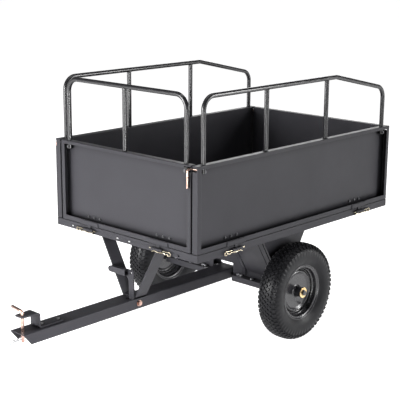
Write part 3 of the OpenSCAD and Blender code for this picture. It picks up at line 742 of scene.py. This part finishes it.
def tyre(name, node, body, sign):
    """A hollow carcass with soft ribs down its shoulders, and rows of knobs over the crown."""
    centre = Vector((sign * WHEEL_X, 0, AXLE_Z))
    shape = Shape()
    segments = LUGS * 6
    outer = [(-p.x, p.y, -a) for p, a in zip(half_section[::-1], arc[::-1])]
    outer += [(p.x, p.y, a) for p, a in zip(half_section[1:], arc[1:])]
    inner = [(x, TYRE_R - depth) for x, depth in HOLLOW]
    inside = inner + [(-x, r) for x, r in inner[-2::-1]]
    rings = []
    for k in range(segments):
        angle = 2 * math.pi * k / segments
        ring = []
        for x, r, a in outer:
            rib = max(0.0, 1 - abs(abs(a) - RIB_ARC) / RIB_REACH)
            lift = RIB_LIFT * rib * math.cos(LUGS * angle)
            outward = 0.55 * lift * (1 if a > 0 else -1)
            ring.append(polar(centre, x + outward, r + 0.8 * lift, angle))
        ring += [polar(centre, x, r, angle) for x, r in inside]
        rings.append(ring)
    shape.rings(rings, loop=True)

    def knob(angle, s, outline, height):
        """A knob whose outline is (round the tyre, across it) about arc distance s from the crown."""
        shrink = 0.82
        base, top = [], []
        for dt, ds in outline:
            xb, rb = on_carcass(s + ds, -1.2)
            xt, rt = on_carcass(s + ds * shrink, height)
            base.append(polar(centre, xb, rb, angle + dt / TYRE_R))
            top.append(polar(centre, xt, min(rt, TYRE_R - 0.1), angle + dt * shrink / TYRE_R))
        shape.rings([base, top])

    pitch = 2 * math.pi / LUGS
    for k in range(LUGS):
        a = k * pitch
        knob(a, 0, DIAMOND, KNOB_H)
        for side in (-1, 1):
            knob(a + pitch / 2, side * 12.5, DIAMOND, KNOB_H)
            knob(a, side * 25.0, DIAMOND, KNOB_H)
            knob(a + pitch / 2, side * 40.5, [(t, side * s) for t, s in SHOULDER], 5.0)
            knob(a, side * 50.5, [(t * 0.62, side * s * 0.45) for t, s in SHOULDER], 2.6)
    return make(name, shape, body, MAT["tyre_rubber"], [node], smooth=38)


# Sections of the pressed rim as (sideways, radius): both faces of the barrel from flange to well, and the disc
BARREL = [(32.4, 115.6), (33.6, 116.6), (35.2, 116.6), (36.4, 115.4), (36.3, 113.6), (35.0, 112.2),
          (33.0, 110.6), (31.6, 108.4), (31.0, 106.0), (30.0, 104.4), (27.5, 103.4), (20.0, 102.4),
          (16.0, 101.4), (13.6, 99.6), (12.2, 97.6), (10.0, 96.4), (5.0, 96.0)]
BARREL_BACK = [(32.4, 113.4), (31.0, 111.4), (29.6, 109.0), (28.8, 106.8), (26.5, 105.8), (18.0, 104.8),
               (11.5, 103.4), (5.0, 103.0)]
DISC = [(9.0, 97.0), (4.6, 95.0), (3.0, 92.4), (4.6, 90.0), (8.6, 87.4), (11.0, 83.6), (10.8, 80.6),
        (8.0, 76.4), (5.6, 72.4), (5.0, 68.0), (4.8, 50.0), (4.9, 34.0), (5.6, 27.0), (8.0, 23.4), (12.5, 21.4)]
DISC_T = 3.0


def rim(name, node, body, sign):
    centre = Vector((sign * WHEEL_X, 0, AXLE_Z))
    shape = Shape()
    barrel = smoothed(BARREL, 3)
    behind = smoothed(BARREL_BACK, 3)
    loop = [(p.x, p.y) for p in barrel] + [(-p.x, p.y) for p in barrel[::-1]]
    loop += [(-p.x, p.y) for p in behind] + [(p.x, p.y) for p in behind[::-1]]
    shape.lathe(loop, centre, 128, sign=sign)
    face = [(p.x, p.y) for p in smoothed(DISC, 4)]
    rear = [(x - DISC_T, r) for x, r in face if r > 24]
    shape.lathe(face + [(6, 20.0), (0, 20.0)] + rear[::-1], centre, 128, sign=sign)
    return make(name, shape, body, MAT["rim_coat"], [node], smooth=50)


VALVE_ANGLE = math.radians(-52)


def valve(name, node, body, sign):
    """A rubber stem with a flange at its foot and a cap."""
    centre = Vector((sign * WHEEL_X, 0, AXLE_Z))
    out = Vector((0, math.cos(VALVE_ANGLE), math.sin(VALVE_ANGLE)))
    foot = centre + Vector((sign * 12, 0, 0)) + out * 99.5
    tip = centre + Vector((sign * 42, 0, 0)) + out * 89.5
    axis = (tip - foot).normalized()
    length = (tip - foot).length
    shape = Shape()
    profile = [(0, 0.1), (0, 7.2), (1.6, 7.2), (3.0, 5.4), (7.0, 4.4), (14.0, 3.6), (15.0, 3.5), (15.2, 4.3),
               (16.0, 4.6), (length - 2.6, 4.3), (length - 1.6, 3.6), (length, 2.8), (length, 0.1)]
    shape.lathe(profile, foot, 24, axis=axis, closed=False)
    return make(name, shape, body, MAT["black_rubber"], [node])


for side, sign in (("right", 1), ("left", -1)):
    body = f"wheel_{side}"
    tyre(f"tyre_tread_{side}", f"tyre_{side}", body, sign)
    rim(f"rim_pressed_{side}", f"rim_{side}", body, sign)
    valve(f"valve_stem_{side}", f"valve_{side}", body, sign)

# ------------------------------------------------------------------ pins, clips and springs

HINGE_OUT = 7.0
HINGE_Z = node_mm("hinge_lugs")[0].z + 13
END_HINGE_X = 198.0
SIDE_HINGE_Y = 405.0
EYE_POINTS = 26
LONG_SPAN = 40.0


def wire_eye(centre, radius, start, sweep, pitch, along, across):
    """A turn of wire about centre, from the start angle in degrees, that shifts across by pitch."""
    points = []
    for k in range(EYE_POINTS + 1):
        a = math.radians(start - sweep * k / EYE_POINTS)
        shift = across * (pitch * (k / EYE_POINTS - 0.5))
        points.append(centre + along * (radius * math.cos(a)) + shift + Vector((0, 0, radius * math.sin(a))))
    return points


def hinge_clip():
    """R-shaped clip: a straight leg through the knuckles, a round eye and a waved second leg."""
    eye = Vector((63.5, 0, -6.0))
    ring = wire_eye(eye, 7.6, 128, 296, 1.6, Vector((1, 0, 0)), Vector((0, 1, 0)))
    leg = [(-42, 0, 0), (eye.x - 8, 0, 0)]
    wave = [(44, 0.6, -11.5), (34, 0.4, -7.8), (20, 0.4, -9.4),
            (2, 0.4, -11.0), (-16, 0.4, -8.2), (-30, 0.4, -12.8)]
    shape = Shape()
    shape.tube(smoothed(leg + ring[1:] + wave, 3, LONG_SPAN), 2.1, 10)
    return shape


QUARTER_TURN = Matrix.Rotation(math.pi / 2, 4, "Z")
clips = Shape()
for turn, offset, half in ((Matrix.Identity(4), END_HINGE_X, HALF_L),
                           (Matrix.Rotation(math.pi, 4, "Z"), END_HINGE_X, HALF_L),
                           (QUARTER_TURN, SIDE_HINGE_Y, HALF_W),
                           (FLIP_X @ QUARTER_TURN, SIDE_HINGE_Y, HALF_W)):
    base = turn @ Matrix.Translation((0, -half - HINGE_OUT, HINGE_Z))
    for mirror in (Matrix.Identity(4), FLIP_X):
        part = hinge_clip().placed(base @ mirror @ Matrix.Translation((offset, 0, 0)))
        clips.add(part.verts, part.faces)
make("hinge_r_clips", clips, "bed", MAT["yellow_zinc"], ["hinge_clips"], smooth=60)


LATCH_BEND = 8.0
LATCH_CHAMFER = 1.2
HANDLE_DROP = 70.0


def latch_pin(corner, points):
    """A bent round bar whose ends are chamfered, on the latch of the named corner."""
    path = rounded(points, LATCH_BEND, step=8)
    nose = (path[1] - path[0]).normalized() * LATCH_CHAMFER
    tail = (path[-2] - path[-1]).normalized() * LATCH_CHAMFER
    path = [path[0], path[0] + nose] + path[1:-1] + [path[-1] + tail, path[-1]]
    radii = [LATCH_R - LATCH_CHAMFER] + [LATCH_R] * (len(path) - 2) + [LATCH_R - LATCH_CHAMFER]
    shape = Shape()
    shape.tube(path, radii, 20)
    node = f"{corner}_latch"
    return make(f"{node}_pin", shape, node, MAT["copper_plate"], [node])


handle_x, nose_x = END_HALF - 10, HALF_W - TRAY + 10.5
hook = [Vector(p) for p in ((nose_x, SHANK_Y, LATCH_Z), (handle_x, SHANK_Y, LATCH_Z), (handle_x, -7, LATCH_Z),
                            (handle_x, -7, LATCH_Z - HANDLE_DROP))]
for corner, place in (("front_right", ON_FRONT), ("rear_left", ON_REAR), ("rear_right", ON_REAR @ FLIP_X)):
    latch_pin(corner, [place @ p for p in hook])
outer_x = -HALF_W - 7
side_hook = [Vector(p) for p in ((-END_HALF + 12, SHANK_Y, LATCH_Z), (outer_x, SHANK_Y, LATCH_Z),
                                 (outer_x, SHANK_Y, LATCH_Z - HANDLE_DROP))]
latch_pin("front_left", [ON_FRONT @ p for p in side_hook])

# Hitch pin: a bar bent over into a handle, with a chamfered nose
pin_lo, pin_hi = node_mm("hitch_pin")
PIN_R = 6.35
PIN_Y = (pin_lo.y + pin_hi.y) / 2
PIN_Z = pin_lo.z
HANDLE_REACH = 60.0
plate_z = node_mm("hitch_bracket")[1].z
shape = Shape()
path = rounded([(0, PIN_Y, PIN_Z), (0, PIN_Y, plate_z + 12.5), (-HANDLE_REACH, PIN_Y, plate_z + 19.5)],
               9.0, step=8)
nose, end = Vector((0, 0, 3)), Vector((1.5, 0, -0.2))
path = [path[0], path[0] + nose] + path[1:-1] + [path[-1] + end, path[-1]]
shape.tube(path, [PIN_R - 1.6] + [PIN_R] * (len(path) - 3) + [PIN_R - 0.3, PIN_R - 1.8], 28)
make("hitch_pin_bent", shape, "hitch_pin", MAT["copper_plate"], ["hitch_pin"], smooth=45)

# R-shaped clip through the hitch pin's foot
z = PIN_Z + 13
eye = Vector((0, PIN_Y - 51, z + 1))
knots = [Vector((0, PIN_Y + 10, z)), Vector((0, PIN_Y - 40, z - 2))]
knots += wire_eye(eye, 9.2, -62, 290, 1.4, Vector((0, 1, 0)), Vector((1, 0, 0)))
knots += [Vector((0, PIN_Y + y, z + rise)) for y, rise in ((-36, 5), (-26, 3.5), (-14, 8.5), (-7, 10.5))]
shape = Shape()
shape.tube(smoothed(knots, 3, LONG_SPAN), 1.7, 10)
make("hitch_pin_r_clip", shape, "hitch_pin", MAT["zinc_plate"], ["hitch_pin_clip"], smooth=60)

# Return spring of the tipping latch
spring_lo, spring_hi = node_mm("latch_spring")
mid_y, mid_z = (spring_lo.y + spring_hi.y) / 2, (spring_lo.z + spring_hi.z) / 2
TURNS, TURN_POINTS, COIL_R, WIRE_R = 5, 20, 7.8, 1.1
coil = []
for k in range(TURNS * TURN_POINTS + 1):
    t = k / (TURNS * TURN_POINTS)
    a = 2 * math.pi * TURNS * t
    x = spring_lo.x + WIRE_R + t * (spring_hi.x - spring_lo.x - 2 * WIRE_R)
    coil.append((x, mid_y + COIL_R * math.cos(a), mid_z + COIL_R * math.sin(a)))
shape = Shape()
shape.tube(coil, WIRE_R, 8)
make("latch_coil", shape, "latch", MAT["zinc_plate"], ["latch_spring"], smooth=60)

# ------------------------------------------------------------------ CAD nodes that stay in sight

CAD_EDGE = 0.7
slots = {row["node"]: row["material_slot"] for row in frame["record"]["subparts"]}
for node, obj in frame["nodes"].items():
    if obj.hide_render:
        continue
    obj.data.materials.clear()
    obj.data.materials.append(MAT["dull_zinc" if node == "axle_shaft" else slots[node]])
    obj.data.shade_smooth()
    weld = obj.modifiers.new("weld", "WELD")
    weld.merge_threshold = 1e-5
    soften(obj, CAD_EDGE)

# ------------------------------------------------------------------ floor, light and camera

n = Nodes("pale_floor")
tone = n.mix(n.spread(n.noise(3.0, 2.0), 0.0, 1.0), (0.86, 0.86, 0.865), (0.90, 0.90, 0.90))
n.set(Base_Color=tone, Roughness=0.75)
n.bsdf.inputs["Emission Color"].default_value = (1, 1, 1, 1)
n.bsdf.inputs["Emission Strength"].default_value = 0.88
n.bsdf.inputs["Specular IOR Level"].default_value = 0.2
mesh = bpy.data.meshes.new("studio_floor")
FLOOR_HALF = 40
corners = [(x * FLOOR_HALF, y * FLOOR_HALF, 0) for x, y in ((-1, -1), (1, -1), (1, 1), (-1, 1))]
mesh.from_pydata(corners, [], [[0, 1, 2, 3]])
floor = bpy.data.objects.new("studio_floor", mesh)
bpy.context.scene.collection.objects.link(floor)
mesh.materials.append(n.mat)
floor.visible_diffuse = False

world = bpy.data.worlds.new("studio")
bpy.context.scene.world = world
world.use_nodes = True
tree = world.node_tree
back = tree.nodes["Background"]
coord = tree.nodes.new("ShaderNodeTexCoord")
split = tree.nodes.new("ShaderNodeSeparateXYZ")
tree.links.new(coord.outputs["Generated"], split.inputs[0])
ramp = tree.nodes.new("ShaderNodeMapRange")
ramp.inputs["From Min"].default_value = 0.0
ramp.inputs["From Max"].default_value = 0.25
ramp.inputs["To Min"].default_value = 0.9
ramp.inputs["To Max"].default_value = 0.12
tree.links.new(split.outputs["Z"], ramp.inputs["Value"])
tree.links.new(ramp.outputs[0], back.inputs["Strength"])
back.inputs["Color"].default_value = (1.0, 1.0, 1.0, 1.0)


def area(name, where, aim, size, energy, spread=180):
    """A rectangular light that looks at a point."""
    light = bpy.data.lights.new(name, "AREA")
    light.shape = "RECTANGLE"
    light.size, light.size_y = size
    light.energy = energy
    light.spread = math.radians(spread)
    obj = bpy.data.objects.new(name, light)
    obj.location = where
    obj.rotation_euler = (Vector(aim) - Vector(where)).to_track_quat("-Z", "Y").to_euler()
    bpy.context.scene.collection.objects.link(obj)


area("key_front", (-1.4, -4.4, 1.35), (0.0, 0.0, 0.6), (2.0, 1.8), 350)
area("fill_right", (3.8, 3.2, 1.7), (0.2, 0.3, 0.5), (1.0, 2.4), 150)
area("side_low", (3.0, -2.4, 0.4), (0.05, -0.9, 0.15), (1.2, 0.5), 11, 40)
area("top_strip", (0.3, 0.2, 4.2), (0.0, 0.2, 0.5), (3.6, 0.8), 34)
area("rim_back", (-2.4, 4.2, 2.6), (0.0, 0.2, 0.7), (2.6, 1.6), 50)

# The camera, from a perspective fit of the cart's edges in the photo
AZIMUTH, ELEVATION, ROLL = (math.radians(v) for v in (43.13, 13.92, 0.35))
LENS = 95.02
CAMERA_AT = Vector((2.9488, -3.3254 + AXLE_Y, 1.6273))
cam = bpy.data.cameras.new("camera")
cam.lens = LENS
cam.sensor_width = 36.0
cam.clip_start, cam.clip_end = 0.05, 100
camera = bpy.data.objects.new("camera", cam)
level = math.cos(ELEVATION)
back_axis = Vector((math.sin(AZIMUTH) * level, -math.cos(AZIMUTH) * level, math.sin(ELEVATION)))
level_right = Vector((math.cos(AZIMUTH), math.sin(AZIMUTH), 0))
level_up = back_axis.cross(level_right)
right = level_right * math.cos(ROLL) + level_up * math.sin(ROLL)
up = level_up * math.cos(ROLL) - level_right * math.sin(ROLL)
place = Matrix((right, up, back_axis)).transposed().to_4x4()
place.translation = CAMERA_AT
camera.matrix_world = place
bpy.context.scene.collection.objects.link(camera)
bpy.context.scene.camera = camera
bpy.context.scene.view_settings.view_transform = "Standard"
